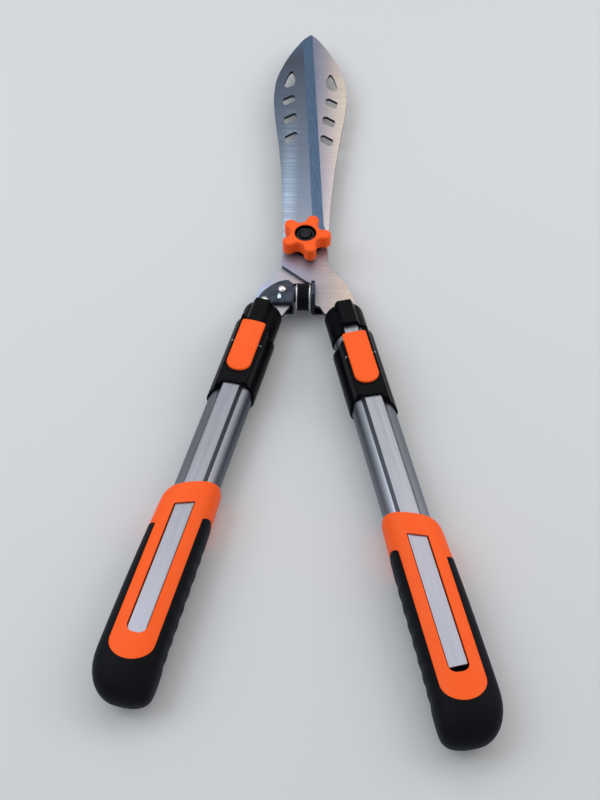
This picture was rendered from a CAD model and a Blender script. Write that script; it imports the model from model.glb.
"""Telescopic hedge shears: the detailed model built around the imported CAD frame.
Lengths below are millimetres in the part's own frame (contact plane of the blades at z = 0, lifted by ZP);
`place` turns them into metres in the row frame."""
import math
import bpy, bmesh
import numpy as np
from mathutils import Vector, Matrix
from mathutils.geometry import tessellate_polygon


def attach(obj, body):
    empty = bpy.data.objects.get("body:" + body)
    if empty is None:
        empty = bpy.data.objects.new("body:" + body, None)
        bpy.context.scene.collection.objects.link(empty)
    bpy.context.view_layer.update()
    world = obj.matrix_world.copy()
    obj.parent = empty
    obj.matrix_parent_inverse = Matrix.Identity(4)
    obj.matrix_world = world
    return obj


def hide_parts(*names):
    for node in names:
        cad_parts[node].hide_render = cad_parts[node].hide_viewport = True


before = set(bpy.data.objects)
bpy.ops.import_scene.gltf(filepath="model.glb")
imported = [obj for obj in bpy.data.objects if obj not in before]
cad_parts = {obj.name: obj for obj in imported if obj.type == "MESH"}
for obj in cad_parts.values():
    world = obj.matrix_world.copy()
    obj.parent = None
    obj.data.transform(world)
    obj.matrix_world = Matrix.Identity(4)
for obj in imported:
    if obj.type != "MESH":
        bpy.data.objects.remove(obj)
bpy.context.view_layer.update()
ZP = 7.15
TAU = 2 * math.pi
SPLAY = math.radians(14.11)
RIGHT_OUT, RIGHT_SLIP = 9.0, 11.8


# ------------------------------------------------------------------ placing
def place(side=None, shift=0.0):
    if side is None:
        return lambda p: np.column_stack([p[:, 0], p[:, 1], p[:, 2] + ZP]) * 0.001
    o = -1 if side == "left" else 1
    c, s = math.cos(o * SPLAY), math.sin(o * SPLAY)
    def f(p):
        x, y = p[:, 0], p[:, 1] - shift
        return np.column_stack([o * 14.65 + x * c - y * s, -4.8 + x * s + y * c, p[:, 2] + ZP]) * 0.001
    return f


def H(s, u):
    d = (math.sin(SPLAY), -math.cos(SPLAY)); n = (math.cos(SPLAY), math.sin(SPLAY))
    return [14.65 + s * d[0] + u * n[0], -4.8 + s * d[1] + u * n[1]]


# ------------------------------------------------------------------ 2D helpers
def fillet(pts, r, n=8, closed=True):
    pts = [np.array(p, float) for p in pts]; m = len(pts); out = []
    for i, p in enumerate(pts):
        ri = r[i] if hasattr(r, "__len__") else r
        if ri <= 0 or (not closed and i in (0, m - 1)):
            out.append(p); continue
        a, b = pts[i - 1] - p, pts[(i + 1) % m] - p
        la, lb = np.linalg.norm(a), np.linalg.norm(b)
        a, b = a / la, b / lb
        ang = math.acos(max(-1, min(1, float(a @ b))))
        if ang > math.radians(177):
            out.append(p); continue
        t = min(ri / math.tan(ang / 2), 0.47 * min(la, lb)); ri = t * math.tan(ang / 2)
        mid = (a + b) / np.linalg.norm(a + b)
        c = p + mid * (ri / math.sin(ang / 2))
        s, e = p + a * t - c, p + b * t - c
        a0, a1 = math.atan2(s[1], s[0]), math.atan2(e[1], e[0])
        d = (a1 - a0 + math.pi) % TAU - math.pi
        for k in range(n + 1):
            th = a0 + d * k / n
            out.append(c + ri * np.array([math.cos(th), math.sin(th)]))
    return np.array(out)


def spline(pts, step=1.0, closed=False):
    P = [np.array(p, float) for p in pts]
    if closed:
        Q = [P[-1]] + P + [P[0], P[1]]
    else:
        Q = [2 * P[0] - P[1]] + P + [2 * P[-1] - P[-2]]
    out = []
    for i in range(1, len(Q) - 2):
        p0, p1, p2, p3 = Q[i - 1:i + 3]
        t0 = 0; t1 = t0 + np.linalg.norm(p1 - p0) ** 0.5; t2 = t1 + np.linalg.norm(p2 - p1) ** 0.5; t3 = t2 + np.linalg.norm(p3 - p2) ** 0.5
        n = max(1, int(math.ceil(np.linalg.norm(p2 - p1) / step)))
        for k in range(n):
            t = t1 + (t2 - t1) * k / n
            a1 = (t1 - t) / (t1 - t0) * p0 + (t - t0) / (t1 - t0) * p1
            a2 = (t2 - t) / (t2 - t1) * p1 + (t - t1) / (t2 - t1) * p2
            a3 = (t3 - t) / (t3 - t2) * p2 + (t - t2) / (t3 - t2) * p3
            b1 = (t2 - t) / (t2 - t0) * a1 + (t - t0) / (t2 - t0) * a2
            b2 = (t3 - t) / (t3 - t1) * a2 + (t - t1) / (t3 - t1) * a3
            out.append((t2 - t) / (t2 - t1) * b1 + (t - t1) / (t2 - t1) * b2)
    if not closed:
        out.append(P[-1])
    return np.array(out)


def area(p):
    p = np.asarray(p); q = np.roll(p, -1, 0)
    return 0.5 * float(np.sum(p[:, 0] * q[:, 1] - q[:, 0] * p[:, 1]))


def clean(p, tol=0.02):
    p = np.asarray(p, float)
    keep = [0]
    for i in range(1, len(p)):
        if np.linalg.norm(p[i] - p[keep[-1]]) > tol:
            keep.append(i)
    if np.linalg.norm(p[keep[-1]] - p[0]) <= tol:
        keep.pop()
    return p[keep]


def inward(p, d):
    """loop moved by d to its left, which is into the material for a counter-clockwise outline and a clockwise hole"""
    a, b = p - np.roll(p, 1, 0), np.roll(p, -1, 0) - p
    a /= np.linalg.norm(a, axis=1)[:, None]; b /= np.linalg.norm(b, axis=1)[:, None]
    na, nb = np.column_stack([-a[:, 1], a[:, 0]]), np.column_stack([-b[:, 1], b[:, 0]])
    m = na + nb; m /= np.linalg.norm(m, axis=1)[:, None]
    k = 1 / np.maximum(0.5, np.sum(m * na, axis=1))
    return p + m * (d * k)[:, None]


def monotone(rows):
    """smooth curve through a table, with no overshoot"""
    x = np.array([r[0] for r in rows], float); y = np.array([r[1] for r in rows], float)
    h = np.diff(x); d = np.diff(y) / h
    m = np.zeros(len(x)); m[0], m[-1] = d[0], d[-1]
    for i in range(1, len(x) - 1):
        if d[i - 1] * d[i] > 0:
            w1, w2 = 2 * h[i] + h[i - 1], h[i] + 2 * h[i - 1]
            m[i] = (w1 + w2) / (w1 / d[i - 1] + w2 / d[i])
    def f(s):
        s = min(max(s, x[0]), x[-1]); i = min(int(np.searchsorted(x, s, "right")) - 1, len(x) - 2)
        t = (s - x[i]) / h[i]
        return float((1 + 2 * t) * (1 - t) ** 2 * y[i] + t * (1 - t) ** 2 * h[i] * m[i] + t * t * (3 - 2 * t) * y[i + 1] + t * t * (t - 1) * h[i] * m[i + 1])
    return f


# ------------------------------------------------------------------ mesh helpers: each gives (points, faces)
def loft(rings, ring_of_rings=False):
    n, m = len(rings[0]), len(rings); f = []
    for k in range(m if ring_of_rings else m - 1):
        a, b = k * n, ((k + 1) % m) * n
        f += [[a + i, a + (i + 1) % n, b + (i + 1) % n, b + i] for i in range(n)]
    if not ring_of_rings:
        f.append(list(range(n))[::-1]); f.append([(m - 1) * n + i for i in range(n)])
    return np.vstack(rings), f


def lathe(profile, at=(0, 0), axis="z", n=64, ring=False):
    """profile of (radius, height); a ring has a closed profile, anything else is capped flat at both ends"""
    rings = []
    for r, h in profile:
        t = np.arange(n) * TAU / n
        c, s, z = r * np.cos(t), r * np.sin(t), np.full(n, h)
        rings.append(np.column_stack([c + at[0], s + at[1], z]) if axis == "z" else np.column_stack([z, c + at[0], s + at[1]]))
    return loft(rings, ring)


def slab(outline, holes, z0, z1, r0=0.3, r1=None, seg=3):
    """flat plate with rounded edges on both faces"""
    r1 = r0 if r1 is None else r1
    loops = []
    for k, lp in enumerate([outline] + list(holes)):
        lp = clean(lp)
        if (area(lp) > 0) != (k == 0):
            lp = lp[::-1]
        loops.append(lp)
    lev = []
    if r0 > 0:
        lev += [(r0 * (1 - math.sin(math.pi / 2 * k / seg)), z0 + r0 * (1 - math.cos(math.pi / 2 * k / seg))) for k in range(seg + 1)]
    else:
        lev.append((0, z0))
    if r1 > 0:
        lev += [(r1 * (1 - math.sin(math.pi / 2 * k / seg)), z1 - r1 * (1 - math.cos(math.pi / 2 * k / seg))) for k in range(seg, -1, -1)]
    else:
        lev.append((0, z1))
    V, F, start, base = [], [], [], 0
    for lp in loops:
        n = len(lp); start.append(base)
        for d, z in lev:
            q = inward(lp, d) if d > 0 else lp
            V.append(np.column_stack([q, np.full(n, z)]))
        for k in range(len(lev) - 1):
            a, b = base + k * n, base + (k + 1) * n
            F += [[a + i, a + (i + 1) % n, b + (i + 1) % n, b + i] for i in range(n)]
        base += n * len(lev)
    V = np.vstack(V)
    for k in (0, len(lev) - 1):
        idx, polys = [], []
        for lp, st in zip(loops, start):
            ids = [st + k * len(lp) + i for i in range(len(lp))]
            idx += ids; polys.append([Vector((V[i][0], V[i][1], 0)) for i in ids])
        for t in tessellate_polygon(polys):
            F.append([idx[i] for i in t])
    return V, F


def block(x0, x1, y0, y1, z0, z1, r=0.0):
    p = [[x0, y0], [x1, y0], [x1, y1], [x0, y1]]
    return slab(fillet(p, r, 4) if r > 0 else p, [], z0, z1, min(r, 0.3) if r > 0 else 0)


def boxS(u0, u1, s0, s1, z0, z1):
    return block(u0, u1, -s1, -s0, z0, z1)


def turn(part, fn):
    return fn(np.asarray(part[0], float)), part[1]


def sweep(path, r, n=10):
    P = np.asarray(path, float); rings = []
    for i, p in enumerate(P):
        t = P[min(i + 1, len(P) - 1)] - P[max(i - 1, 0)]; t /= np.linalg.norm(t)
        up = np.array([0, 0, 1.0]) if abs(t[2]) < 0.9 else np.array([1.0, 0, 0])
        a = np.cross(t, up); a /= np.linalg.norm(a); b = np.cross(a, t)
        th = np.arange(n) * TAU / n
        rings.append(p + r * (np.cos(th)[:, None] * a + np.sin(th)[:, None] * b))
    return loft(rings)


def make(name, parts, where):
    V, F, n = [], [], 0
    for v, f in parts:
        V.append(np.asarray(v, float)); F += [[i + n for i in q] for q in f]; n += len(v)
    me = bpy.data.meshes.new(name)
    me.from_pydata(where(np.vstack(V)).tolist(), [], F)
    bm = bmesh.new(); bm.from_mesh(me)
    bmesh.ops.recalc_face_normals(bm, faces=bm.faces)
    bm.to_mesh(me); bm.free()
    ob = bpy.data.objects.new(name, me)
    bpy.context.scene.collection.objects.link(ob)
    return ob


def apply_all(ob):
    bpy.context.view_layer.update()
    new = bpy.data.meshes.new_from_object(ob.evaluated_get(bpy.context.evaluated_depsgraph_get()))
    ob.modifiers.clear(); ob.data = new


def csg(ob, op, parts, where):
    tool = make("tool", parts if isinstance(parts, list) else [parts], where)
    m = ob.modifiers.new("b", "BOOLEAN"); m.operation = op; m.solver = "EXACT"; m.object = tool
    apply_all(ob)
    bpy.data.objects.remove(tool)
    return ob


def edge_round(ob, width, angle=40, seg=2):
    m = ob.modifiers.new("edge", "BEVEL"); m.width = width * 0.001; m.segments = seg; m.limit_method = "ANGLE"
    m.angle_limit = math.radians(angle); m.use_clamp_overlap = False; m.harden_normals = False
    apply_all(ob)


def dress(ob, mats, body, nodes=(), sharp=35, weighted=True):
    ob.data.materials.clear()
    for m in (mats if isinstance(mats, (list, tuple)) else [mats]):
        ob.data.materials.append(m)
    ob.data.shade_smooth(); ob.data.set_sharp_from_angle(angle=math.radians(sharp))
    if weighted:      # broad flat faces stay flat, and the small rounds take up the turn
        w = ob.modifiers.new("normals", "WEIGHTED_NORMAL"); w.keep_sharp = True; w.weight = 80
    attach(ob, body)
    if nodes:
        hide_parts(*nodes)
    return ob


# ------------------------------------------------------------------ materials
def srgb(r, g, b):
    return tuple(((c / 255) / 12.92 if c / 255 <= 0.04045 else ((c / 255 + 0.055) / 1.055) ** 2.4) for c in (r, g, b)) + (1.0,)


class Look:
    def __init__(self, name, color, rough, metal=0.0, spec=0.5):
        self.m = bpy.data.materials.new(name); self.m.use_nodes = True
        self.nt = self.m.node_tree; self.b = self.nt.nodes["Principled BSDF"]
        self.b.inputs["Base Color"].default_value = color
        self.b.inputs["Roughness"].default_value = rough
        self.b.inputs["Metallic"].default_value = metal
        self.b.inputs["Specular IOR Level"].default_value = spec
        self.m.diffuse_color = color
        self.normal = None
    def n(self, kind, **kw):
        x = self.nt.nodes.new(kind)
        for k, v in kw.items():
            if hasattr(x, k): setattr(x, k, v)
            else: x.inputs[k.replace("_", " ")].default_value = v
        return x
    def l(self, a, b):
        self.nt.links.new(a, b)
    def coords(self, scale, turn_z=0.0):
        t = self.n("ShaderNodeTexCoord"); out = t.outputs["Object"]
        if turn_z:
            r = self.n("ShaderNodeMapping"); r.inputs["Rotation"].default_value = (0, 0, turn_z); self.l(out, r.inputs["Vector"]); out = r.outputs[0]
        s = self.n("ShaderNodeMapping"); s.inputs["Scale"].default_value = scale; self.l(out, s.inputs["Vector"])
        return s.outputs[0]
    def noise(self, scale, turn_z=0.0, detail=3.0, rough=0.5):
        x = self.n("ShaderNodeTexNoise"); x.inputs["Scale"].default_value = 1.0; x.inputs["Detail"].default_value = detail; x.inputs["Roughness"].default_value = rough
        self.l(self.coords(scale, turn_z), x.inputs["Vector"])
        return x.outputs["Fac"]
    def ramp(self, fac, stops):
        r = self.n("ShaderNodeValToRGB"); e = r.color_ramp.elements
        while len(e) < len(stops): e.new(0.5)
        for i, (p, c) in enumerate(stops): e[i].position = p; e[i].color = c
        self.l(fac, r.inputs["Fac"]); return r.outputs["Color"]
    def span(self, fac, a, b, c, d):
        r = self.n("ShaderNodeMapRange"); r.inputs["From Min"].default_value = a; r.inputs["From Max"].default_value = b
        r.inputs["To Min"].default_value = c; r.inputs["To Max"].default_value = d
        self.l(fac, r.inputs["Value"]); return r.outputs["Result"]
    def mix(self, fac, a, b, how="MIX"):
        x = self.n("ShaderNodeMix"); x.data_type = "RGBA"; x.blend_type = how
        for sock, v in ((x.inputs[0], fac), (x.inputs[6], a), (x.inputs[7], b)):
            if isinstance(v, (tuple, float, int)): sock.default_value = v
            else: self.l(v, sock)
        return x.outputs[2]
    def color(self, out): self.l(out, self.b.inputs["Base Color"])
    def rough(self, out): self.l(out, self.b.inputs["Roughness"])
    def bump(self, height, dist, strength=1.0):
        x = self.n("ShaderNodeBump"); x.inputs["Distance"].default_value = dist; x.inputs["Strength"].default_value = strength
        self.l(height, x.inputs["Height"])
        if self.normal is not None: self.l(self.normal, x.inputs["Normal"])
        self.normal = x.outputs["Normal"]; self.l(self.normal, self.b.inputs["Normal"])


def blade_steel(name, axis, stops, neck, rub, sheen=False):
    """brushed plate: broad reflections run along one axis, the finish runs across the blade"""
    k = Look(name, stops[0][1], 0.34, 1.0)
    fine = k.noise((70, 2600, 70), 0, 2.0)           # fine cross-wise grinding lines
    coarse = k.noise((16, 560, 16), 0, 3.0)
    cloud = k.noise((30, 14, 30), 0, 2.0)
    sep = k.n("ShaderNodeSeparateXYZ"); k.l(k.coords((1, 1, 1)), sep.inputs[0])
    lo, hi = stops[0][0], stops[-1][0]
    c = k.ramp(k.span(sep.outputs[axis], lo, hi, 0.0, 1.0), [((p - lo) / (hi - lo), q) for p, q in stops])
    if sheen:       # pale blue light along the back of the blade, broken into cross lines
        band = k.ramp(k.span(sep.outputs["X"], -0.024, -0.002, 0.0, 1.0), [(0.0, (0, 0, 0, 1)), (0.3, (1, 1, 1, 1)), (0.48, (0.8, 0.8, 0.8, 1)), (0.75, (0, 0, 0, 1))])
        far_up = k.ramp(k.span(sep.outputs["Y"], 0.01, 0.17, 0.0, 1.0), [(0.0, (0.75, 0.75, 0.75, 1)), (0.3, (0.8, 0.8, 0.8, 1)), (1.0, (0, 0, 0, 1))])
        c = k.mix(k.mix(1.0, k.mix(1.0, band, far_up, "MULTIPLY"), k.ramp(coarse, [(0.3, (0.35,) * 3 + (1,)), (0.7, (1, 1, 1, 1))]), "MULTIPLY"), c, srgb(196, 216, 236))
    side = k.ramp(k.span(sep.outputs["X"], neck[0][0], neck[-1][0], 0.0, 1.0), [((p - neck[0][0]) / (neck[-1][0] - neck[0][0]), q) for p, q in neck])
    c = k.mix(k.span(sep.outputs["Y"], 0.012, -0.03, 0.0, 1.0), c, side)
    c = k.mix(1.0, c, k.ramp(coarse, [(0.28, (1 - rub,) * 3 + (1.0,)), (0.74, (1.0, 1.0, 1.0, 1.0))]), "MULTIPLY")
    c = k.mix(k.span(cloud, 0.35, 0.7, 0.0, 1.0), c, k.mix(1.0, c, (0.9, 0.93, 1.0, 1.0), "MULTIPLY"))
    k.color(c)
    mth = k.n("ShaderNodeMath", operation="MAXIMUM")
    k.l(k.span(fine, 0.3, 0.7, 0.28, 0.44), mth.inputs[0]); k.l(k.span(sep.outputs["Y"], 0.02, -0.012, 0.28, 0.56), mth.inputs[1])
    k.rough(mth.outputs[0])
    k.bump(fine, 0.00002, 0.5)
    return k.m


def ground(name, a, b):
    k = Look(name, a, 0.3, 1.0)
    fine = k.noise((2200, 60, 200), math.radians(-3.3), 2.0)
    k.color(k.ramp(fine, [(0.3, a), (0.7, b)]))
    k.rough(k.span(fine, 0.3, 0.7, 0.22, 0.38)); k.bump(fine, 0.00001, 0.5)
    return k.m


def polished(name, a, b, r0, r1, metal=1.0):
    k = Look(name, a, r0, metal)
    cl = k.noise((160, 160, 160), 0, 4.0)
    fine = k.noise((2400, 2400, 300), 0.4, 2.0)
    k.color(k.ramp(cl, [(0.32, a), (0.68, b)]))
    k.rough(k.span(cl, 0.35, 0.7, r0, r1)); k.bump(fine, 0.000012, 0.4)
    return k.m


def drawn(name, stops, turn_z, r0, r1):
    """drawn tube: lines along its length, flanks a little darker than the rib"""
    k = Look(name, stops[0][1], r0, 1.0)
    lines = k.noise((2600, 26, 2600), turn_z, 3.0)
    wide = k.noise((420, 7, 420), turn_z, 2.0)
    sep = k.n("ShaderNodeSeparateXYZ"); k.l(k.coords((1, 1, 1)), sep.inputs[0])
    lo, hi = stops[0][0], stops[-1][0]
    c = k.ramp(k.span(sep.outputs["Y"], lo, hi, 0.0, 1.0), [((p - lo) / (hi - lo), q) for p, q in stops])
    c = k.mix(k.span(lines, 0.3, 0.7, 0.0, 1.0), c, k.mix(1.0, c, (0.86, 0.87, 0.89, 1.0), "MULTIPLY"))
    geo = k.n("ShaderNodeNewGeometry"); nz = k.n("ShaderNodeSeparateXYZ"); k.l(geo.outputs["Normal"], nz.inputs[0])
    c = k.mix(k.span(nz.outputs["Z"], 0.97, 0.55, 0.0, 1.0), c, k.mix(1.0, c, (0.5, 0.55, 0.6, 1.0), "MULTIPLY"))
    k.color(c)
    k.rough(k.span(wide, 0.3, 0.7, r0, r1)); k.bump(lines, 0.000012, 0.5)
    return k.m


def moulded(name, a, b, r0, r1, grain, depth, spec=0.5):
    k = Look(name, a, r0, 0.0, spec)
    g = k.noise((grain, grain, grain), 0, 3.0)
    cl = k.noise((70, 70, 70), 0, 3.0)
    k.color(k.ramp(cl, [(0.3, a), (0.7, b)]))
    k.rough(k.span(g, 0.3, 0.7, r0, r1)); k.bump(g, depth, 0.6)
    return k


M = {}
M["front"] = blade_steel("steel_front", "Y", [(0.0, srgb(168, 162, 172)), (0.035, srgb(150, 158, 172)), (0.08, srgb(138, 149, 164)), (0.13, srgb(124, 136, 152)), (0.18, srgb(112, 123, 138)), (0.235, srgb(96, 104, 116)), (0.262, srgb(102, 122, 148))],
                         [(-0.016, srgb(172, 176, 198)), (0.004, srgb(170, 165, 174)), (0.020, srgb(198, 183, 176)), (0.036, srgb(226, 206, 188))], 0.18, True)
M["rear"] = blade_steel("steel_rear", "X", [(0.004, srgb(160, 163, 184)), (0.014, srgb(196, 187, 190)), (0.021, srgb(226, 210, 203)), (0.031, srgb(252, 234, 214))],
                        [(-0.036, srgb(186, 200, 224)), (-0.022, srgb(190, 190, 200)), (-0.005, srgb(196, 184, 180)), (0.02, srgb(196, 184, 180))], 0.16)
M["bevel_f"] = ground("ground_front", srgb(98, 122, 152), srgb(106, 130, 160))
M["bevel_r"] = ground("ground_rear", srgb(190, 180, 172), srgb(208, 198, 190))
M["cut_edge"] = polished("blade_cut_edge", srgb(58, 62, 74), srgb(84, 88, 100), 0.3, 0.45)
M["chrome"] = polished("bracket_chrome", srgb(38, 42, 50), srgb(58, 62, 72), 0.09, 0.2)
M["boss"] = polished("bright_boss", srgb(196, 226, 240), srgb(214, 238, 248), 0.2, 0.3)
M["zinc"] = polished("zinc_steel", srgb(205, 206, 208), srgb(226, 226, 226), 0.2, 0.34)
M["dark"] = polished("dark_steel", srgb(34, 35, 38), srgb(48, 49, 53), 0.3, 0.45)
M["alu_left"] = drawn("aluminium_left", [(-0.35, srgb(188, 187, 198)), (-0.27, srgb(166, 166, 174)), (-0.20, srgb(143, 144, 150)), (-0.15, srgb(138, 140, 147))], SPLAY, 0.34, 0.46)
M["alu_right"] = drawn("aluminium_right", [(-0.35, srgb(194, 193, 205)), (-0.27, srgb(178, 177, 186)), (-0.20, srgb(160, 161, 165)), (-0.15, srgb(154, 155, 160))], -SPLAY, 0.34, 0.46)
M["black"] = moulded("black_plastic", srgb(4, 4, 7), srgb(7, 8, 12), 0.28, 0.38, 1400, 0.00002, 0.06).m
M["orange"] = moulded("orange_plastic", (1.0, 0.108, 0.009, 1.0), (1.0, 0.12, 0.013, 1.0), 0.42, 0.54, 1500, 0.000025, 0.2).m
k = moulded("rubber", srgb(5, 6, 9), srgb(9, 10, 14), 0.5, 0.66, 1900, 0.00004, 0.1)
k.b.inputs["Sheen Weight"].default_value = 0.05
k.b.inputs["Sheen Tint"].default_value = srgb(150, 175, 230)
M["rubber"] = k.m
M["nylon"] = moulded("nylon", srgb(214, 212, 203), srgb(224, 222, 214), 0.45, 0.6, 1200, 0.00002).m


# ------------------------------------------------------------------ blades
TIP, HEEL, BT, GAP = [0.0, 273.0], [14.4, 25.0], 3.0, 0.15
FZ, RZ = GAP, -GAP - BT
edge_pts = [[-1.8, 272.3], [-4.5, 268.6], [-8.6, 262.4], [-12.2, 256], [-18.1, 244.5], [-23.1, 233], [-27.1, 221.5], [-30.5, 210], [-32.3, 199],
            [-33.0, 188], [-33.1, 177], [-32.2, 166], [-31.2, 156], [-30.0, 146], [-28.6, 136], [-27.4, 126], [-25.9, 115], [-24.9, 105],
            [-23.8, 95], [-22.8, 85], [-22.1, 75], [-20.8, 57], [-19.6, 38], [-18.9, 20], [-18.8, 0], [-18.7, -12]]
shoulder = [[39.3, -56.4], [36.4, -48.2], [32.3, -40.0], [26.1, -31.7], [21.6, -26.0], [18.9, -21.6], [17.7, -17.0]]


def blade_outline(neck, radii):
    pts, r = [TIP], [0.5]
    for p in spline(edge_pts, 1.6): pts.append(list(p)); r.append(0)
    for p, q in zip(neck, radii): pts.append(p); r.append(q)
    for p in spline(shoulder, 1.2): pts.append(list(p)); r.append(0)
    pts += [[17.6, 15], HEEL]; r += [6.0, 1.2]
    return fillet(pts, r, 8)


tang = [H(66.6, -11.2), H(86, -11.2), H(86, 11.2), H(58, 11.3)]
front_line = blade_outline([[-18.5, -22.0], [2.6, -39.2], [6.3, -40.5], [8.7, -43.4], [8.9, -62.4], [9.5, -63.0], [12.6, -63.6], [16.3, -70.6]] + tang,
                           [3, 2, 1.5, 1.5, 0.4, 0.4, 2.0, 2.0, 0.6, 1, 1, 0.6])
rear_line = blade_outline([[-18.5, -22.0], [0.6, -38.3], [10.9, -38.3], [10.9, -62.2], [12.3, -63.6], [16.3, -70.6]] + tang,
                          [3, 1.5, 2.0, 0.6, 1.0, 2.0, 0.6, 1, 1, 0.6]) * np.array([-1, 1])
slot_pts = [[[-14.3, 185.3], [-24.8, 177.9], [-24.2, 167.6], [-13.9, 175.4]],
            [[-12.0, 160.9], [-22.9, 153.1], [-22.3, 142.7], [-11.6, 150.9]],
            [[-10.4, 136.6], [-21.3, 128.4], [-20.5, 118.0], [-10.0, 126.6]]]
tear = spline([[-17.8, 216.6], [-20.2, 213.2], [-22.5, 206.0], [-24.0, 197.5], [-22.9, 193.8], [-20.2, 193.9], [-15.6, 197.4], [-14.5, 201.5], [-14.7, 208.0]], 0.6, True)


def circle(x, y, r, n=48):
    t = np.arange(n) * TAU / n
    return np.column_stack([x + r * np.cos(t), y + r * np.sin(t)])


def blade(name, outline, z0, mirror, top, hole_r, side):
    sx = np.array([-1 if mirror else 1, 1])
    holes = [fillet(s, 2.3, 8) * sx for s in slot_pts] + [tear * sx, circle(0, 0, hole_r, 72)]
    x, y = H(76, 0)
    holes.append(circle(side * x, y, 2.8))
    ob = make(name, [slab(outline, holes, z0, z0 + BT, 0.22, 0.22, 2)], place())
    # ground bevel along the straight cutting edge, with a curved run-out at the heel
    d = np.array(TIP) - np.array(HEEL); L = np.linalg.norm(d); d /= L; nrm = np.array([-d[1], d[0]])
    drop, W = BT - 0.6, 9.2
    rings = []
    for t in (-12.0, L + 20):
        c = [(W, 0), (W, 3), (-7, 3), (-7, -drop * (1 + 1 / W)), (-1, -drop * (1 + 1 / W))]
        rings.append(np.array([[*(np.array(HEEL) + nrm * q[0] + d * t), q[1]] for q in c]))
    v, f = loft(rings)
    v = v.copy()
    if mirror: v[:, 0] *= -1
    v[:, 2] = z0 + BT + v[:, 2] if top else z0 - v[:, 2]
    csg(ob, "DIFFERENCE", (v, f), place())
    # ridge of the bevel stays crisp, and the ground faces take their own finish
    return ob, d, nrm, W


def finish_blade(pack, z0, mirror, top, mats, body, node):
    ob, d, nrm, W = pack
    dress(ob, mats, body, [node], 35)
    me = ob.data
    for p in me.polygons:
        if abs(abs(p.normal.z) - 0.9676) < 0.006: p.material_index = 1
        elif abs(p.normal.z) < 0.5: p.material_index = 2
    n = len(me.vertices); co = np.zeros(n * 3); me.vertices.foreach_get("co", co); co = co.reshape(-1, 3) * 1000
    xy = co[:, :2] * np.array([-1 if mirror else 1, 1]) - np.array(HEEL)
    zf = (z0 + BT if top else z0) + ZP
    on = (np.abs(xy @ nrm - W) < 0.01) & (np.abs(co[:, 2] - zf) < 0.01)
    at = me.attributes.get("sharp_edge") or me.attributes.new("sharp_edge", "BOOLEAN", "EDGE")
    ev = np.zeros(len(me.edges) * 2, int); me.edges.foreach_get("vertices", ev); ev = ev.reshape(-1, 2)
    sh = np.zeros(len(me.edges), bool); at.data.foreach_get("value", sh)
    at.data.foreach_set("value", sh | (on[ev[:, 0]] & on[ev[:, 1]]))
    return ob


finish_blade(blade("front_blade_plate", front_line, FZ, False, True, 7.2, 1), FZ, False, True, [M["front"], M["bevel_f"], M["cut_edge"]], "front_side", "front_blade")
finish_blade(blade("rear_blade_plate", rear_line, RZ, True, False, 5.3, -1), RZ, True, False, [M["rear"], M["bevel_r"], M["cut_edge"]], "rear_side", "rear_blade")

# ------------------------------------------------------------------ pivot, knob
P0 = place()


def cad(name, mat, width=None, angle=40):
    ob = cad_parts[name]
    ob.data.materials.clear(); ob.data.materials.append(mat)
    if width:
        m = ob.modifiers.new("edge", "BEVEL"); m.width = width * 0.001; m.segments = 2; m.limit_method = "ANGLE"; m.angle_limit = math.radians(angle)
    ob.data.shade_smooth(); ob.data.set_sharp_from_angle(angle=math.radians(32))
    return ob


def hexagon(af, z0, z1, r_hole=None, chamfer=0.6):
    """hexagon with its corners turned down"""
    t = np.radians(np.arange(0, 360, 5) + 0.0); half = af / 2
    hexr = half / np.cos((t + math.pi / 6) % (math.pi / 3) - math.pi / 6)
    turned = half * 1.02
    rings = []
    for z, r in ((z0, np.minimum(hexr, turned - 0.3)), (z0 + chamfer * 0.4, np.minimum(hexr, turned + 0.25)), (z0 + chamfer, hexr), (z1 - chamfer, hexr), (z1 - chamfer * 0.4, np.minimum(hexr, turned + 0.25)), (z1, np.minimum(hexr, turned - 0.3))):
        rings.append(np.column_stack([r * np.cos(t), r * np.sin(t), np.full(len(t), z)]))
    if r_hole:
        for z, r in ((z1, r_hole + 0.4), (z1 - 0.4, r_hole), (z0 + 0.4, r_hole), (z0, r_hole + 0.4)):
            rings.append(np.column_stack([r * np.cos(t), r * np.sin(t), np.full(len(t), z)]))
        return loft(rings, True)
    return loft(rings)


bolt = make("bolt", [hexagon(17, -ZP, RZ - 0.02)], P0)
csg(bolt, "UNION", lathe([(5.0, -ZP + 1), (5.0, 16.2), (4.85, 16.6), (4.3, 17.2), (3.2, 17.2), (2.9, 16.8), (0.4, 16.7)], n=72), P0)
dress(bolt, M["dark"], "rear_side", ["pivot_bolt"])
dress(make("nut", [hexagon(14.2, 10.45, 15.8, 5.1)], P0), M["dark"], "knob", ["knob_nut"])
dress(make("bush", [lathe(fillet([(5.08, FZ), (6.9, FZ), (6.9, FZ + BT), (5.08, FZ + BT)], 0.2, 2), n=72, ring=True)], P0), M["nylon"], "front_side", ["pivot_bush"])
dress(make("washer", [lathe(fillet([(5.3, 3.45), (12.6, 3.45), (12.6, 5.85), (5.3, 5.85)], 0.7, 5), n=96, ring=True)], P0), M["black"], "rear_side", ["thrust_washer"])


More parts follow.
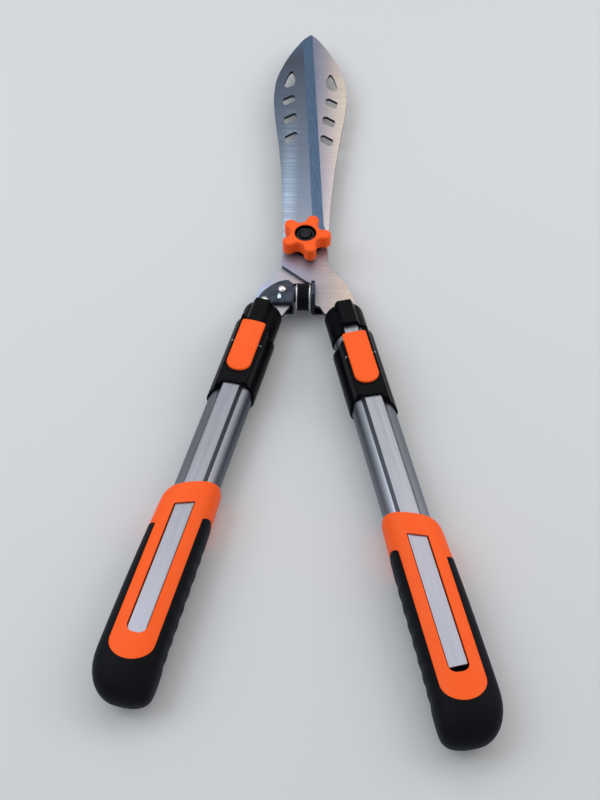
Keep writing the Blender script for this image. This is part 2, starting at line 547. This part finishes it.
def knob():
    # round-ended lobes joined by hollow arcs, each arc tangent to the next
    rho, rv = 4.9, 12.0; cl = 20.5 - rho
    q = (cl * cl + rv * rv - 2 * cl * rv * math.cos(math.pi / 5) - rho * rho) / (2 * rho - 2 * rv + 2 * cl * math.cos(math.pi / 5))
    D = rv + q; star = []
    for i in range(5):
        a0 = math.radians(69) + i * TAU / 5
        L, Vc = cl * np.array([1.0, 0.0]), D * np.array([math.cos(math.pi / 5), math.sin(math.pi / 5)])
        al = math.atan2(*(Vc - L)[::-1])
        for th in np.linspace(-al, al, 27)[:-1]: star.append((L + rho * np.array([math.cos(th), math.sin(th)]), a0))
        b0 = math.atan2(*(L - Vc)[::-1]) % TAU; b1 = (2 * (math.pi / 5 + math.pi) - b0) % TAU
        for th in np.linspace(b0, b1, 15)[:-1]: star.append((Vc + q * np.array([math.cos(th), math.sin(th)]), a0))
    star = np.array([[p[0] * math.cos(a) - p[1] * math.sin(a), p[0] * math.sin(a) + p[1] * math.cos(a)] for p, a in star])
    n = len(star); t = np.unwrap(np.arctan2(star[:, 1], star[:, 0]))
    rings = []
    def ring(inset, z):
        q = inward(star, inset) if inset > 0 else star
        rings.append(np.column_stack([q, np.full(n, z)]))
    r, zb, zt = 1.9, 6.15, 18.15
    for k in range(5): th = math.pi / 2 * k / 4; ring(1.0 * (1 - math.sin(th)), zb + 1.0 * (1 - math.cos(th)))
    for z in (9.0, 12.0, 14.5): ring(0, z)
    for k in range(8, -1, -1): th = math.pi / 2 * k / 8; ring(r * (1 - math.sin(th)), zt - r * (1 - math.cos(th)))
    def round_ring(rr, z): rings.append(np.column_stack([rr * np.cos(t), rr * np.sin(t), np.full(n, z)]))
    for rr, z in ((9.9, 18.05), (9.3, 17.95), (8.95, 17.75), (8.7, 17.4), (8.6, 17.0), (8.6, 10.15), (5.7, 10.15), (5.4, 9.85), (5.4, 6.5), (5.75, 6.15)): round_ring(rr, z)
    return loft(rings, True)


dress(make("knob_star", [knob()], P0), M["orange"], "knob", ["tension_knob"], 50)
dress(make("knob_liner", [lathe(fillet([(8.3, 10.2), (8.58, 10.2), (8.58, 17.35), (8.3, 17.35)], 0.1, 2), n=96, ring=True)], P0), M["black"], "knob")

# ------------------------------------------------------------------ stop brackets, rivets, bumper
LBX, RBX, FT, BY = -7.6, 5.7, 1.8, -52.0
rivL, rivR = [(-17.2, -45.6), (-30.8, -56.8)], [(19.0, -46.6), (31.4, -56.2)]


def standing(x0, x1, y0, y1, z0, z1, r):
    """plate standing across X"""
    p = slab(fillet([[y0, z0], [y1, z0], [y1, z1], [y0, z1]], r, 8), [], x0, x1, 0.35, 0.35, 3)
    return turn(p, lambda v: np.column_stack([v[:, 2], v[:, 0], v[:, 1]]))


def dome(x, y, z, rx, ry, rz, n=40, m=14):
    rings = []
    for k in range(m):
        a = -math.pi / 2 + math.pi * (k + 0.5) / m; t = np.arange(n) * TAU / n
        rings.append(np.column_stack([x + rx * math.cos(a) * np.cos(t), y + ry * math.cos(a) * np.sin(t), np.full(n, z + rz * math.sin(a))]))
    return loft(rings)


lb_line = spline([[-36.2, -55.4], [-33.3, -49.3], [-27.5, -43], [-21.2, -38.2], [-15.7, -36.2], [-12.6, -35.9]], 0.9)
lb_line = list(map(list, lb_line)) + [[-10.7, -37.8], [LBX - 0.9, -40], [LBX - 0.9, -61.0], [-25.2, -61.0]]
lb_line = fillet(lb_line, [1.5] + [0] * (len(lb_line) - 6) + [0.8, 1.0, 1.5, 1.0, 2.0], 6)
left = make("stop_bracket_left", [slab(lb_line, [], -0.1, 1.8, 0.15, 0.6, 4)], P0)
csg(left, "UNION", standing(LBX - FT, LBX, -62.0, -41.5, -11, 3.6, 3.2), P0)
csg(left, "UNION", block(LBX - 8.5, LBX - 0.6, -61.0, -44, -11, -9.2, 1.0), P0)
csg(left, "UNION", turn(slab(fillet([[-61.2, 0.6], [-59.5, 0.6], [-59.5, 3.5], [-61.2, 3.5]], 0.8, 5), [], -24.6, LBX - 0.7, 0.6, 0.6, 3), lambda v: np.column_stack([v[:, 2], v[:, 0], v[:, 1]])), P0)
csg(left, "UNION", dome(-19.3, -52.6, 1.6, 1.8, 3.0, 1.0), P0)
csg(left, "UNION", turn(slab(fillet([[-60.2, 0.3], [-58.2, 0.3], [-58.2, 2.2], [-60.2, 2.2]], 0.3, 2), [], -23, LBX - 2, 0.3, 0.3, 2), lambda v: np.column_stack([v[:, 2], v[:, 0], v[:, 1]])), P0)
csg(left, "DIFFERENCE", turn(lathe([(3.3, LBX - FT - 0.1), (3.3, -3.0)], at=(BY, 0), axis="x", n=48), lambda v: v), P0)
dress(left, [M["chrome"], M["boss"]], "rear_side", ["left_bracket"], 38)
for p in left.data.polygons:
    q = p.center * 1000
    if ((q.x + 19.3) / 2.1) ** 2 + ((q.y + 52.6) / 3.4) ** 2 < 1 and q.z - ZP > 1.81: p.material_index = 1

rb_line = [[36.2, -55.4], [25.2, -61.0], [RBX + 0.9, -61.0], [RBX + 0.9, -43.0], [11.2, -37.8]] + list(map(list, spline([[12.6, -35.9], [15.7, -36.2], [21.2, -38.2], [27.5, -43], [33.3, -49.3]], 0.9)))
right = make("stop_bracket_right", [slab(fillet(rb_line, [1.5, 2, 1, 1, 1] + [0] * (len(rb_line) - 5), 6), [], -1.85, 0.05, 0.3, 0.15, 3)], P0)
csg(right, "UNION", standing(RBX, RBX + 2.9, -62.0, -41.6, -11, 11.2, 5), P0)
csg(right, "UNION", block(RBX + 0.6, RBX + 10.4, -61.0, -44, -11, -9.2, 1.0), P0)
dress(right, M["chrome"], "front_side", ["right_bracket"], 38)

for i, (x, y) in enumerate(rivL):
    w = "lower" if i else "upper"
    pr = [(0.3, RZ - 1.3), (2.3, RZ - 1.3), (2.75, RZ - 1.0), (2.9, RZ - 0.3), (2.0, RZ - 0.28), (2.0, 1.82), (3.2, 1.84), (3.3, 2.05), (3.1, 2.5), (2.6, 2.95), (1.9, 3.3), (1.0, 3.5), (0.3, 3.54)]
    dress(make(f"rivet_left_{w}", [lathe(pr, at=(x, y), n=48)], P0), M["zinc"], "rear_side", [f"left_rivet_{w}"], 40)
for i, (x, y) in enumerate(rivR):
    w = "lower" if i else "upper"
    pr = [(0.3, -4.15), (1.1, -4.08), (2.0, -3.75), (2.6, -3.2), (2.95, -2.6), (3.05, -2.0), (2.9, -1.88), (2.0, -1.86), (2.0, 2.1), (0.3, 2.1)]
    dress(make(f"rivet_right_{w}", [lathe(pr, at=(x, y), n=48)], P0), M["zinc"], "front_side", [f"right_rivet_{w}"], 40)

disc = lambda x0, x1, hole: fillet([(hole, x0), (11.1, x0), (11.1, x1), (hole, x1)], 0.28, 4)
dress(make("disc_left", [lathe(disc(-6.0, -5.1, 3.0), at=(BY, 0), axis="x", n=96, ring=True)], P0), M["zinc"], "rear_side", ["bumper_disc_left"])
dress(make("disc_right", [lathe([(0.3, 4.1), (10.8, 4.1), (11.02, 4.18), (11.1, 4.4), (11.1, 4.7), (11.02, 4.92), (10.8, 5.0), (0.3, 5.0)], at=(BY, 0), axis="x", n=96)], P0), M["zinc"], "rear_side", ["bumper_disc_right"])
pr = [(3.0, -5.08), (10.4, -5.08), (10.7, -4.9)]
for k in range(61):
    x = -4.7 + 8.4 * k / 60
    groove = sum(math.exp(-((x - g) / 0.42) ** 2) for g in (-2.6, -0.5, 1.6))
    pr.append((10.8 - 0.7 * groove, x))
pr += [(10.7, 3.9), (10.4, 4.08), (3.0, 4.08)]
dress(make("bumper_ring", [lathe(pr, at=(BY, 0), axis="x", n=96, ring=True)], P0), M["rubber"], "rear_side", ["bumper_rubber"], 60)
dress(make("bumper_bolt", [lathe([(0.3, LBX - FT + 0.25), (2.5, LBX - FT + 0.25), (2.8, LBX - FT + 0.5), (2.8, LBX + 0.02), (4.4, LBX + 0.03), (4.6, LBX + 0.25), (4.6, -6.25), (4.4, -6.02), (2.8, -6.0), (2.8, 3.8), (2.6, 3.9), (0.3, 3.9)], at=(BY, 0), axis="x", n=64)], P0),
      M["dark"], "rear_side", ["bumper_screw"])

# ------------------------------------------------------------------ handle sections
TUBE = dict(a=15.6, b=12.8, zt=15.0, wt=6.05, wb=8.2)
PHI = np.unique(np.round(np.concatenate([np.arange(0, 360, 4.0), np.arange(28, 80, 1.0), np.arange(100, 152, 1.0)]), 3))
PHI = np.radians(PHI)


def section(a, b, zt, wt, wb, rt=1.0, rb=0.8):
    f = math.acos(wb / a); pts = []
    for i in range(61):
        t = math.pi - f + (math.pi + 2 * f) * i / 60
        pts.append([a * math.cos(t), b * math.sin(t)])
    n = len(pts)
    # the oval's own last segment next to the corner is kept short, so the corner gets its fillet
    pts += [[wt, zt], [-wt, zt]]
    P = pts[:]
    # base corners are points 0 and n-1, top corners n and n+1
    r = [0.0] * len(P); r[n] = r[n + 1] = rt
    Q = fillet(P, r, 8)
    return radial(Q)


def oval(a, b):
    t = np.arange(360) * TAU / 360
    return radial(np.column_stack([a * np.cos(t), b * np.sin(t)]))


def radial(poly):
    A = np.asarray(poly); B = np.roll(A, -1, 0); E = B - A; out = np.zeros(len(PHI))
    for k, ph in enumerate(PHI):
        d = np.array([math.cos(ph), math.sin(ph)])
        den = d[0] * E[:, 1] - d[1] * E[:, 0]
        with np.errstate(divide="ignore", invalid="ignore"):
            t = (A[:, 0] * E[:, 1] - A[:, 1] * E[:, 0]) / den
            w = (A[:, 0] * d[1] - A[:, 1] * d[0]) / den
        ok = (np.abs(den) > 1e-12) & (w >= -1e-9) & (w <= 1 + 1e-9) & (t > 0)
        out[k] = t[ok].max()
    return out


def soften(r, width):
    """rounds the concave corners of a section: a short running mean over the angle, only where it would fill"""
    out = r.copy(); n = len(r)
    for k in range(n):
        d = np.abs((PHI - PHI[k] + math.pi) % TAU - math.pi); w = np.exp(-(d / width) ** 2)
        m = float((w * r).sum() / w.sum())
        if m > r[k]: out[k] = m
    return out


def inset(d):
    return section(TUBE["a"] - d, TUBE["b"] - d, TUBE["zt"] - d, TUBE["wt"] - 0.55 * d, TUBE["wb"] - 0.6 * d, 0.9)


def ringS(r, s):
    s = np.full(len(PHI), s) if np.isscalar(s) else s
    return np.column_stack([r * np.cos(PHI), -s, r * np.sin(PHI)])


def stack(items, closed=True):
    return loft([ringS(r, s) for r, s in items], closed)


def smooth01(t):
    t = np.clip(t, 0, 1); return t * t * (3 - 2 * t)


def cylS(r, u, s, z0, z1, n=40):
    return lathe([(r, z0), (r, z1)], at=(u, -s), n=n)


def cylU(r, u0, u1, s, z, n=32):
    return lathe([(r, u0), (r, u1)], at=(-s, z), axis="x", n=n)


SEC = section(**TUBE)
BORE_GRIP = inset(-0.3)


def handle(side):
    o = -1 if side == "left" else 1
    out = 0.0 if side == "left" else RIGHT_OUT
    slip = 0.0 if side == "left" else RIGHT_SLIP
    near = place(side); mid = place(side, out); far = place(side, out + slip)
    root = "rear_side" if side == "left" else "front_side"
    outer_b, lever_b = f"{side}_outer", f"{side}_lever"
    tz = RZ if side == "left" else FZ
    alu = M[f"alu_{side}"]

    # inner tube with its row of lock holes
    a, b = inset(1.7), inset(3.0)
    t = make(f"{side}_inner", [stack([(a - 0.25, 66.6), (a, 66.85), (a, 329.75), (a - 0.25, 330), (b, 330), (b, 66.6)])], near)
    holes = [slab(fillet([[-2.6, -(102.5 + 1.9 + i * 30)], [2.6, -(102.5 + 1.9 + i * 30)], [2.6, -(102.5 - 1.9 + i * 30)], [-2.6, -(102.5 - 1.9 + i * 30)]], 0.7, 4), [], 5, 20, 0, 0) for i in range(6)]
    csg(t, "DIFFERENCE", holes + [cylS(2.8, 0, 76, -20, 20)], near)
    dress(t, alu, root, [f"{side}_inner_tube"], 28)
    dress(make(f"{side}_pin", [lathe([(0.3, -10.9), (2.1, -10.9), (2.5, -10.5), (2.5, 12.7), (2.1, 13.1), (0.3, 13.1)], at=(0, -76), n=48)], near), M["zinc"], root, [f"{side}_tang_pin"])
    cad(f"{side}_slide_bush", M["nylon"], 0.2)

    # collar: a raised block down its middle and a rounded nose at its shoulders
    c = section(15.2, 14.2, 17.6, 5.3, 8.0, 1.0)
    c = soften(c, math.radians(1.6))
    rib = smooth01((np.abs(np.degrees(PHI) - 90) - 24) / 8)        # 0 on the block, 1 on the shoulders
    v = o * c * np.cos(PHI)                                        # towards the outer side
    s_bot = 88.0 + 4.4 * smooth01((-v - 6.3) / 2.0) + 1.6 * smooth01((-v - 8.3) / 6.0)
    rows = [(c * 0.62, 63.4)]
    for k in range(13):
        th = math.pi / 2 * k / 12; s_sh = 63.5 + 6.5 * (1 - math.cos(th)); s_rb = 65.2 + 1.8 * (1 - math.cos(th))
        f_sh = 0.66 + 0.34 * math.sin(th); f_rb = 0.925 + 0.075 * math.sin(th)
        rows.append((c * (f_rb + (f_sh - f_rb) * rib), s_rb + (s_sh - s_rb) * rib))
    core = inset(1.4)
    rows += [(c, 75.0), (c, s_bot - 0.7), (c - 0.2, s_bot - 0.2), (np.maximum(c - 0.6, core), s_bot), (core * 0.97, s_bot), (core * 0.97, 80.0)]
    col = make(f"{side}_collar_shell", [stack(rows, False)], near)
    csg(col, "DIFFERENCE", stack([(core, 66.3), (core, 99)], False), near)
    csg(col, "DIFFERENCE", boxS(-16, 16, 50, 66.9, tz - 0.3, tz + BT + 0.3), near)
    dress(col, M["black"], root, [f"{side}_collar"], 40)

    # outer tube, notched under the lever
    b = inset(1.3)
    s_tube = np.maximum(92.0, s_bot + 0.6)
    t = make(f"{side}_outer_sleeve", [stack([(SEC - 0.25, s_tube), (SEC, s_tube + 0.25), (SEC, 350.0), (SEC - 0.3, 350.3), (b, 350.3), (b, s_tube)])], mid)
    csg(t, "DIFFERENCE", boxS(-8.7, 8.7, 80, 137.2, 8.6, 20), mid)
    csg(t, "DIFFERENCE", cylS(1.9, 0, 142, -20, -8), mid)
    dress(t, alu, outer_b, [f"{side}_outer_tube"], 28)

    # lock housing
    hs = soften(section(17.2, 15.0, 16.9, 11.0, 13.0, 1.5), math.radians(2.2))
    v = o * hs * np.cos(PHI); top = (np.sin(PHI) > 0.2)
    arch_end = monotone([[-17.3, 148.2], [-15.5, 145.2], [-12.5, 144.0], [-8.6, 144.2], [-7.2, 145.3], [0, 145.7], [6.2, 146.2], [8.6, 149.6], [12, 151.2], [15, 153.2], [17.3, 155.2]])
    s_end = np.where(top, np.array([arch_end(q) for q in v]), 151.7 + 0.205 * v)
    bA = np.maximum(oval(15.9, 13.1), inset(1.3)); bB = inset(-0.3)
    # an ear on the outer side slides over the collar, and the inner side is cut back to meet the collar's longer edge
    ear = smooth01((v - 8.2) / 2.6)
    s_top = 88.5 - 6.0 * ear + 4.4 * smooth01((-v - 6.9) / 2.0) + 1.6 * smooth01((-v - 8.9) / 6.0)
    bE = np.where(v > 8.2, np.maximum(bA, c + 0.35), bA); sA = np.maximum(89.0, s_top + 0.3)
    lip = np.minimum(1.1, 0.6 * (hs - bE))
    rows = []
    for k in range(7):
        th = math.pi / 2 * k / 6
        rows.append((hs - lip * (1 - math.sin(th)), s_top + 2.2 * (1 - math.cos(th))))
    rows += [(hs, 100.0), (hs, 115.0), (hs, 130.0)]
    rows += [(hs, 130 + (s_end - 0.7 - 130) * q) for q in (0.35, 0.7, 1.0)]
    rows += [(hs - 0.2, s_end - 0.2), (hs - 0.6, s_end), (bB, s_end), (bB, 137.1), (bA, 137.1), (bA, sA), (bE, sA - 0.2), (bE, s_top)]
    h = make(f"{side}_housing_shell", [stack(rows)], mid)
    e = [[9.5 * math.cos(q), -127.4 + 8.3 * math.sin(q)] for q in np.linspace(math.pi, TAU, 49)]
    csg(h, "DIFFERENCE", slab([[9.5, -80], [-9.5, -80]] + e, [], 14.45, 30, 0, 0), mid)
    csg(h, "DIFFERENCE", boxS(-2.9, 2.9, 90.9, 96.1, 12, 20), mid)
    csg(h, "DIFFERENCE", cylU(0.93, -14, 14, 109, 15.7), mid)
    csg(h, "DIFFERENCE", cylS(1.9, 0, 142, -20, -8), mid)
    rim = [[-10.3, -97.0, 16.78]] + [[10.3 * math.cos(q), -127.4 + 9.1 * math.sin(q), 16.78] for q in np.linspace(math.pi, TAU, 41)] + [[10.3, -97.0, 16.78]]
    csg(h, "UNION", sweep(rim, 0.45, 12), mid)
    dress(h, M["black"], outer_b, [f"{side}_lock_housing"], 40)

    pr = [(0.3, -16.3), (1.2, -16.3), (1.4, -16.6), (2.5, -16.6), (3.0, -16.3), (3.2, -15.9), (3.2, -15.3), (3.1, -15.2), (1.6, -15.2), (1.6, -11.7), (0.3, -11.7)]
    dress(make(f"{side}_screw", [lathe(pr, at=(0, -142), n=40)], mid), M["zinc"], outer_b, [f"{side}_housing_screw"])
    dress(make(f"{side}_hinge_pin", [lathe([(0.2, -11.35), (0.7, -11.35), (0.9, -11.2), (0.9, 11.2), (0.7, 11.35), (0.2, 11.35)], at=(-109, 15.7), axis="x", n=32)], mid), M["zinc"], outer_b, [f"{side}_lever_pin"])
    pts = [[2.3 * math.cos(q), -126 + 2.3 * math.sin(q), 14.75 + 1.3 * q / (2.5 * TAU)] for q in np.linspace(0, 2.5 * TAU, 81)]
    dress(make(f"{side}_coil", [sweep(pts, 0.22, 8)], mid), M["zinc"], outer_b, [f"{side}_lever_spring"], 60)

    # lever: crowned key with a round lower end
    W = 9.15
    key = [[W, -88.5], [-W, -88.5]] + [[W * math.cos(q), -127.2 + 8.0 * math.sin(q)] for q in np.linspace(math.pi, TAU, 41)]
    kr = [1.4, 1.4] + [0] * 41
    # stations added along the straight sides so that the crown follows them
    line = []
    K = fillet(key, kr, 8)
    for i, p in enumerate(K):
        q = K[(i + 1) % len(K)]; m = max(1, int(np.linalg.norm(q - p) / 2.0))
        line += [p + (q - p) * j / m for j in range(m)]
    line = clean(np.array(line)); line = line if area(line) > 0 else line[::-1]
    cy, hl = -111.85, 23.35
    def kring(d, z_drop):
        fx, fy = (W - d) / W, (hl - d) / hl
        q = np.column_stack([line[:, 0] * fx, cy + (line[:, 1] - cy) * fy])
        z = 18.95 - 1.15 * (np.abs(q[:, 0]) / W) ** 2.3 - 0.45 * np.clip((-q[:, 1] - 126) / 9.2, 0, 1) ** 2 - z_drop
        return np.column_stack([q, z])
    rings = [np.column_stack([line * 1.0, np.full(len(line), 16.3)])]
    rings[0][:, 0] *= 0.975; rings[0][:, 1] = cy + (rings[0][:, 1] - cy) * 0.992
    rings.append(np.column_stack([line, np.full(len(line), 16.6)]))
    for k in range(7):
        th = math.pi / 2 * k / 6
        rings.append(kring(1.0 * (1 - math.cos(th)), 0.95 * (1 - math.sin(th))))
    for d in (1.6, 2.6, 4.0, 5.4, 6.8, 8.0, 8.7): rings.append(kring(d, 0))
    lv = make(f"{side}_key", [loft(rings)], mid)
    csg(lv, "UNION", block(-7.8, 7.8, -112, -106, 14.75, 17.2, 0.8), mid)
    csg(lv, "UNION", block(-2.2, 2.2, -95, -92, 13.65, 17.2, 0.5), mid)
    csg(lv, "DIFFERENCE", cylU(1.3, -12, 12, 109, 15.9), mid)
    csg(lv, "DIFFERENCE", cylS(3.2, 0, 126, 14, 17.6), mid)
    dress(lv, M["orange"], lever_b, [f"{side}_lock_lever"], 40)

    # grip: its ends, window and colour joints all lean, the inner side standing nearer the blades
    def lean(p):
        q = np.array(p, float); q[:, 1] -= 0.37 * o * q[:, 0] * (1 - 0.88 * smooth01((-q[:, 1] - 275) / 62)) * (1 - smooth01((-q[:, 1] - 350) / 24))
        return far(q)
    W_out = monotone([[231, 19.7], [240, 20.3], [262, 21.1], [290, 21.9], [320, 22.3], [350, 22.5], [395, 22.5]])
    W_in = monotone([[231, 18.0], [240, 18.3], [262, 18.9], [290, 19.7], [320, 20.0], [350, 20.5], [364, 21.2], [395, 21.4]])
    W_top = monotone([[231, 16.45], [262, 16.6], [395, 16.6]])
    W_bot = monotone([[231, 16.1], [262, 16.6], [350, 17.2], [364, 17.4], [395, 17.4]])
    N = 128; T = (np.arange(N) + 0.5) * TAU / N; C, S = np.cos(T), np.sin(T)
    ex = 0.8
    def close(s, s0, p):
        x = min(max((s - s0) / (384.6 - s0), 0), 0.9995)
        return math.sqrt(1 - x ** p)
    def shoulder_drop(s, depth):
        x = min(max((237 - s) / 6.0, 0), 1.0)
        return depth * (1 - math.sqrt(1 - x * x))
    def body_ring(s, grow, waves):
        hu_o = (W_out(s) - shoulder_drop(s, 3.0)) * close(s, 350, 2.6) + grow
        hu_i = (W_in(s) - shoulder_drop(s, 2.6)) * close(s, 362, 5.4) + grow
        hz_t = (W_top(s) - shoulder_drop(s, 0.7)) * close(s, 352, 3.0) + grow
        hz_b = (W_bot(s) - shoulder_drop(s, 0.7)) * close(s, 352, 3.0) + grow
        u = np.sign(C) * np.abs(C) ** ex; z = np.sign(S) * np.abs(S) ** ex
        inner = C * o < 0
        hu = np.where(inner, hu_i, hu_o)
        if waves:
            sa = s - 7.6
            env = smooth01((sa - 266) / 6) * (1 - smooth01((sa - 345) / 10))
            wave = 0.5 - 0.5 * math.cos(TAU * (sa - 266.5) / 10.5)
            hu = hu - np.where(inner, 0.6 * env * wave * np.abs(C) ** 1.3 * (1 - 0.35 * np.abs(S)), 0)
        return np.column_stack([u * hu, np.full(N, -s), z * np.where(S > 0, hz_t, hz_b)])
    st = [231 + 6 * (1 - math.cos(q)) for q in np.linspace(0, math.pi / 2, 7)] + list(np.arange(240, 361, 4.0)) + [363.5]
    gs = make(f"{side}_grip_front", [loft([body_ring(s, 0, False) for s in st])], lean)
    arch = spline([[272, 20], [266.8, 16.4], [262.6, 14.8], [260.2, 12.4], [258.8, 9.6], [258.4, 6.2], [259.0, 2.4], [260.6, -1.6], [263.2, -5.6], [266.4, -9.0], [269.6, -12.4], [271.4, -17], [271.6, -30]], 0.8)
    def side_prism(u0, u1, grow):
        p = np.array([[x + grow, z] for x, z in arch]); p = np.vstack([[[400, 22]], [[p[0][0], 22]], p, [[400, -30]]])
        v, f = slab(p, [], u0, u1, 0, 0)
        return turn((v, f), lambda w: np.column_stack([w[:, 2], -w[:, 0], w[:, 1]]))
    for u0, u1 in ((14.6, 40), (-40, -14.6)):
        csg(gs, "DIFFERENCE", side_prism(u0, u1, 0), lean)
    csg(gs, "DIFFERENCE", boxS(-14.7, 14.7, 271.6, 400, -40, 6.5), lean)
    def panel_end(w, s1):
        return [[w * math.cos(q), -(s1 - w * 0.86) - w * 0.86 * math.sin(q)] for q in np.linspace(0, math.pi, 49)]
    endp = panel_end(14.6, 360)
    csg(gs, "DIFFERENCE", slab([[-16, -340]] + endp[::-1] + [[16, -340], [16, -420], [-16, -420]], [], -40, 40, 0, 0), lean)
    csg(gs, "DIFFERENCE", stack([(BORE_GRIP, 210), (BORE_GRIP, 354.3)], False), far)
    win = fillet([[-6.8, -342.6], [6.8, -342.6], [6.8, -247.6], [-6.8, -247.6]], [5.4, 5.4, 0.9, 0.9], 8)
    csg(gs, "DIFFERENCE", slab(win, [], 8, 30, 0, 0), lean)
    dress(gs, M["orange"], outer_b, [f"{side}_grip_shell"], 40)

    st = list(np.arange(255.0, 350, 1.4)) + [350 + 34.6 * math.sin(q) for q in np.linspace(0.03, math.pi / 2 * 0.985, 30)]
    gr = make(f"{side}_grip_side", [loft([body_ring(s, 0.25, True) for s in st])], lean)
    # the orange half, a little larger all round, is taken out of the rubber
    pts = np.array([[x + 0.3, z] for x, z in arch]); pts = np.vstack([[[200, 40]], [[pts[0][0], 40]], pts, [[pts[-1][0], -40]], [[200, -40]]])
    v, f = slab(pts, [], -40, 40, 0, 0)
    csg(gr, "DIFFERENCE", turn((v, f), lambda w: np.column_stack([w[:, 2], -w[:, 0], w[:, 1]])), lean)
    csg(gr, "DIFFERENCE", boxS(-14.9, 14.9, 200, 271.9, -40, 40), lean)
    endp = panel_end(14.9, 360.3)
    csg(gr, "DIFFERENCE", slab([[-14.9, -230], *endp[::-1], [14.9, -230]], [], 6.2, 50, 0, 0), lean)
    csg(gr, "DIFFERENCE", stack([(BORE_GRIP, 210), (BORE_GRIP, 354.3)], False), far)
    dress(gr, M["rubber"], outer_b, [f"{side}_grip_rubber"], 40)


handle("left")
handle("right")

# ------------------------------------------------------------------ studio
def stage_mesh(name, verts, faces, mat):
    me = bpy.data.meshes.new(name); me.from_pydata(verts, [], faces); me.materials.append(mat)
    ob = bpy.data.objects.new(name, me); bpy.context.scene.collection.objects.link(ob); return ob


fl = Look("floor", srgb(212, 213, 214), 0.75, 0.0, 0.2)
Z = -0.0104
stage_mesh("floor", [(-3, -3, Z), (3, -3, Z), (3, 3, Z), (-3, 3, Z)], [(0, 1, 2, 3)], fl.m)

world = bpy.data.worlds.new("studio"); bpy.context.scene.world = world; world.use_nodes = True
bg = world.node_tree.nodes["Background"]; bg.inputs["Color"].default_value = (0.93, 0.96, 1.0, 1); bg.inputs["Strength"].default_value = 0.5


def area_light(name, loc, target, size, watts, color):
    ld = bpy.data.lights.new(name, "AREA"); ld.shape = "RECTANGLE"; ld.size, ld.size_y = size; ld.energy = watts; ld.color = color
    ob = bpy.data.objects.new(name, ld); bpy.context.scene.collection.objects.link(ob)
    ob.location = loc; ob.rotation_mode = "QUATERNION"
    ob.rotation_quaternion = (Vector(target) - Vector(loc)).to_track_quat("-Z", "Y")
    return ob


area_light("key_cool", (-0.9, -0.1, 1.1), (0, 0, 0), (0.9, 0.9), 6.2, (0.86, 0.93, 1.0))
area_light("fill_warm", (1.0, 0.1, 0.9), (0, 0, 0), (0.8, 0.8), 4.0, (1.0, 0.93, 0.86))
area_light("top_soft", (0.0, 0.75, 1.35), (0, 0, 0), (1.6, 0.8), 5.1, (1.0, 1.0, 1.0))

# ------------------------------------------------------------------ camera
F, CX, CY, CZ, YAW, PITCH, ROLL = 1033.8667, 14.4421964, -573.711192, 629.995999, 0.0349137483, 0.978206886, -0.00904344554
sy, cyw, sp, cp = math.sin(YAW), math.cos(YAW), math.sin(PITCH), math.cos(PITCH)
fwd = Vector((-sy * cp, cyw * cp, -sp)); rgt = Vector((cyw, sy, 0)); up = rgt.cross(fwd)
r2 = math.cos(ROLL) * rgt + math.sin(ROLL) * up; u2 = -math.sin(ROLL) * rgt + math.cos(ROLL) * up
cam = bpy.data.cameras.new("camera"); cam_ob = bpy.data.objects.new("camera", cam); bpy.context.scene.collection.objects.link(cam_ob)
cam.sensor_width = 36.0; cam.lens = F / 800 * 36; cam.clip_start = 0.01; cam.clip_end = 20
m = Matrix.Identity(4)
for i in range(3):
    m[i][0], m[i][1], m[i][2] = r2[i], u2[i], -fwd[i]
m[0][3], m[1][3], m[2][3] = CX * 0.001, CY * 0.001, (CZ + ZP) * 0.001
cam_ob.matrix_world = m
bpy.context.scene.camera = cam_ob
bpy.context.scene.view_settings.view_transform = "Standard"
bpy.context.scene.view_settings.exposure = 0.1
